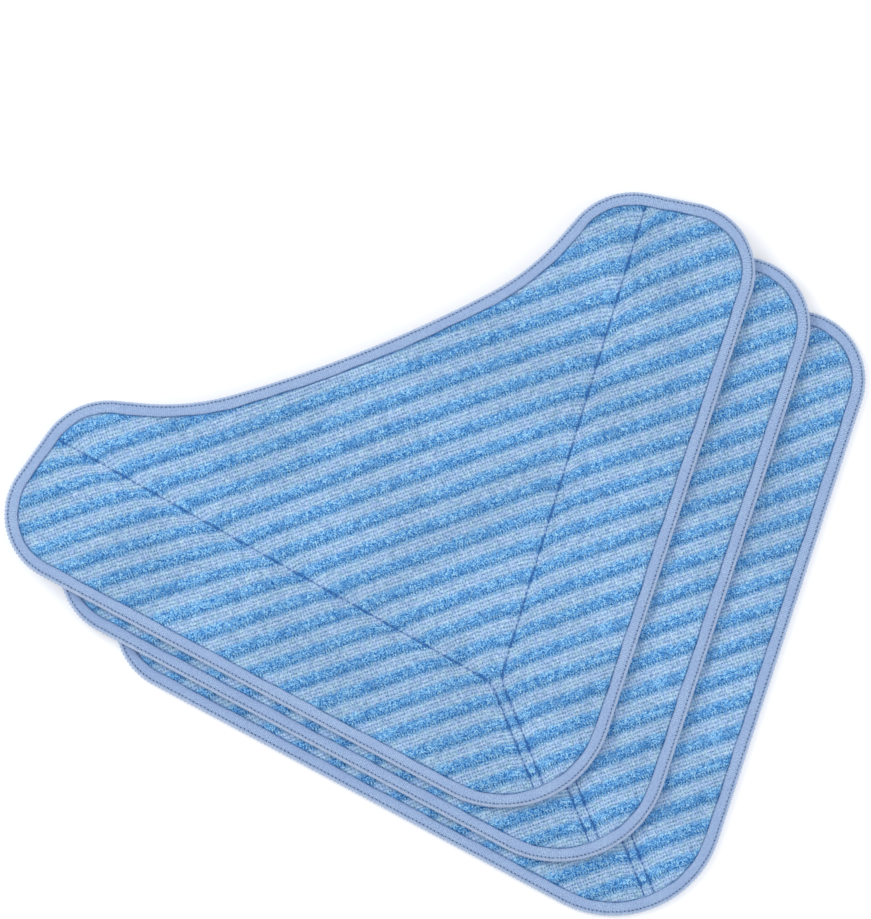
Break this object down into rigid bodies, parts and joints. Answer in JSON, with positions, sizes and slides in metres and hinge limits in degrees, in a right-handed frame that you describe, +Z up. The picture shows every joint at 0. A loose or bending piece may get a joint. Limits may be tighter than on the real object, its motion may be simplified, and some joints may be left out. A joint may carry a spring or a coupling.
{
  "type": "steam mop pad set",
  "caption": "Triangular striped microfibre pads with bound edges and stitched seams for a steam mop head, stacked and fanned out, each lifting off the one below.",
  "frame": {"origin": "middle of the base of the whole stack, on the surface it lies on", "axes": "+X across the pads, +Y towards the hollow rear edge and away from the rounded tip, +Z up out of the striped working faces"},
  "size_m": [0.3886, 0.306, 0.0174],
  "materials": {
    "striped_pile_cloth": "matte",
    "absorbent_core": "matte",
    "loop_backing": "matte",
    "binding_tape": "satin",
    "binding_thread": "satin",
    "seam_thread": "satin"
  },
  "bodies": {
    "bottom_pad": {"bottom_face_cloth": "striped_pile_cloth", "bottom_absorbent_core": "absorbent_core", "bottom_loop_backing": "loop_backing", "bottom_edge_binding": "binding_tape", "bottom_binding_needle_thread": "binding_thread", "bottom_binding_looper_thread": "binding_thread", "bottom_left_seam_needle_thread": "seam_thread", "bottom_left_seam_bobbin_thread": "seam_thread", "bottom_right_seam_needle_thread": "seam_thread", "bottom_right_seam_bobbin_thread": "seam_thread"},
    "middle_pad": {"middle_face_cloth": "striped_pile_cloth", "middle_absorbent_core": "absorbent_core", "middle_loop_backing": "loop_backing", "middle_edge_binding": "binding_tape", "middle_binding_needle_thread": "binding_thread", "middle_binding_looper_thread": "binding_thread", "middle_left_seam_needle_thread": "seam_thread", "middle_left_seam_bobbin_thread": "seam_thread", "middle_right_seam_needle_thread": "seam_thread", "middle_right_seam_bobbin_thread": "seam_thread"},
    "top_pad": {"top_face_cloth": "striped_pile_cloth", "top_absorbent_core": "absorbent_core", "top_loop_backing": "loop_backing", "top_edge_binding": "binding_tape", "top_binding_needle_thread": "binding_thread", "top_binding_looper_thread": "binding_thread", "top_left_seam_needle_thread": "seam_thread", "top_left_seam_bobbin_thread": "seam_thread", "top_right_seam_needle_thread": "seam_thread", "top_right_seam_bobbin_thread": "seam_thread"}
  },
  "joints": [
    {"name": "middle_pad_lift", "type": "slide", "parent": "bottom_pad", "child": "middle_pad", "axis": [0, 0, 1], "range_m": [0, 0.1]},
    {"name": "top_pad_lift", "type": "slide", "parent": "middle_pad", "child": "top_pad", "axis": [0, 0, 1], "range_m": [0, 0.1]}
  ]
}
